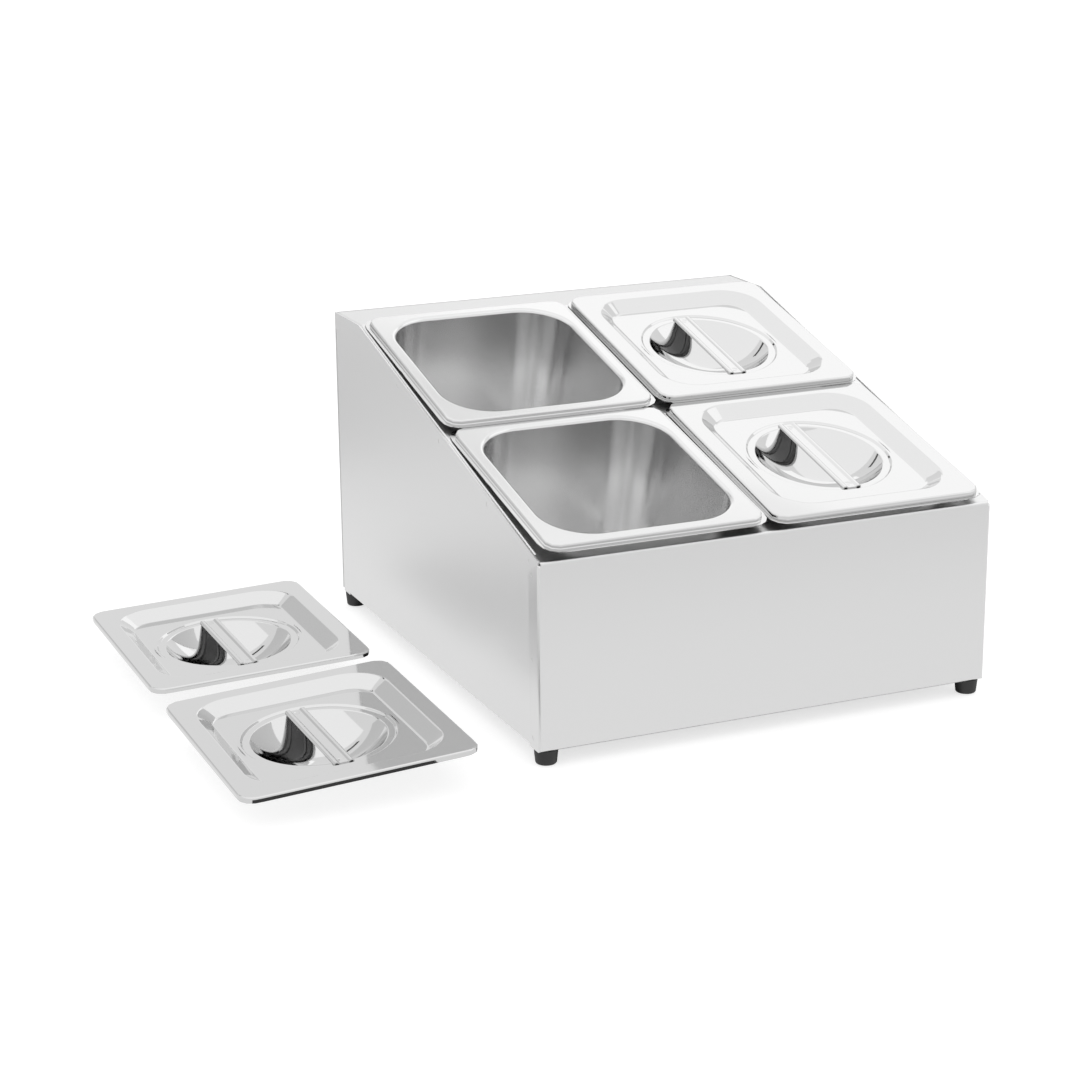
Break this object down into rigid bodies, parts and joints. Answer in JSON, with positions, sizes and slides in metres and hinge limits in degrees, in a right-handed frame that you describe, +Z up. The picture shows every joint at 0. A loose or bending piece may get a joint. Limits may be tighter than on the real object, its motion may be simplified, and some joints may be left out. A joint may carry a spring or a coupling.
{
  "type": "condiment holder",
  "caption": "Sloping sheet-metal countertop stand with rows of lift-out food pans and handled lids, for serving condiments, garnishes or toppings cold.",
  "frame": {"origin": "on the table, under the middle of the whole object's box, the two loose lids included", "axes": "+X to the right as seen by the user who faces the low front, +Y to the high back, +Z up"},
  "size_m": [0.543, 0.4028, 0.2335],
  "materials": {
    "stand_sheet": "satin stainless steel sheet, fine grain along each panel",
    "pan_sheet": "drawn stainless steel, satin inside, brighter at the rim",
    "lid_sheet": "polished stainless steel",
    "handle_sheet": "polished stainless steel strip, spot welded at both ends",
    "foot_rubber": "matte black rubber",
    "fastener": "plain stainless steel"
  },
  "bodies": {
    "root": {"front_panel": "stand_sheet", "left_side_panel": "stand_sheet", "right_side_panel": "stand_sheet", "back_panel": "stand_sheet", "top_frame": "stand_sheet", "foot_front_left": "foot_rubber", "foot_front_right": "foot_rubber", "foot_rear_left": "foot_rubber", "foot_rear_right": "foot_rubber", "foot_screws": "fastener", "foot_nuts": "fastener", "pan_front_left": "pan_sheet", "pan_front_right": "pan_sheet", "pan_rear_left": "pan_sheet", "pan_rear_right": "pan_sheet", "lid_front_right": "lid_sheet", "lid_rear_right": "lid_sheet", "lid_loose_front": "lid_sheet", "lid_loose_rear": "lid_sheet", "lid_handle_front_right": "handle_sheet", "lid_handle_rear_right": "handle_sheet", "lid_handle_loose_front": "handle_sheet", "lid_handle_loose_rear": "handle_sheet"}
  },
  "joints": []
}
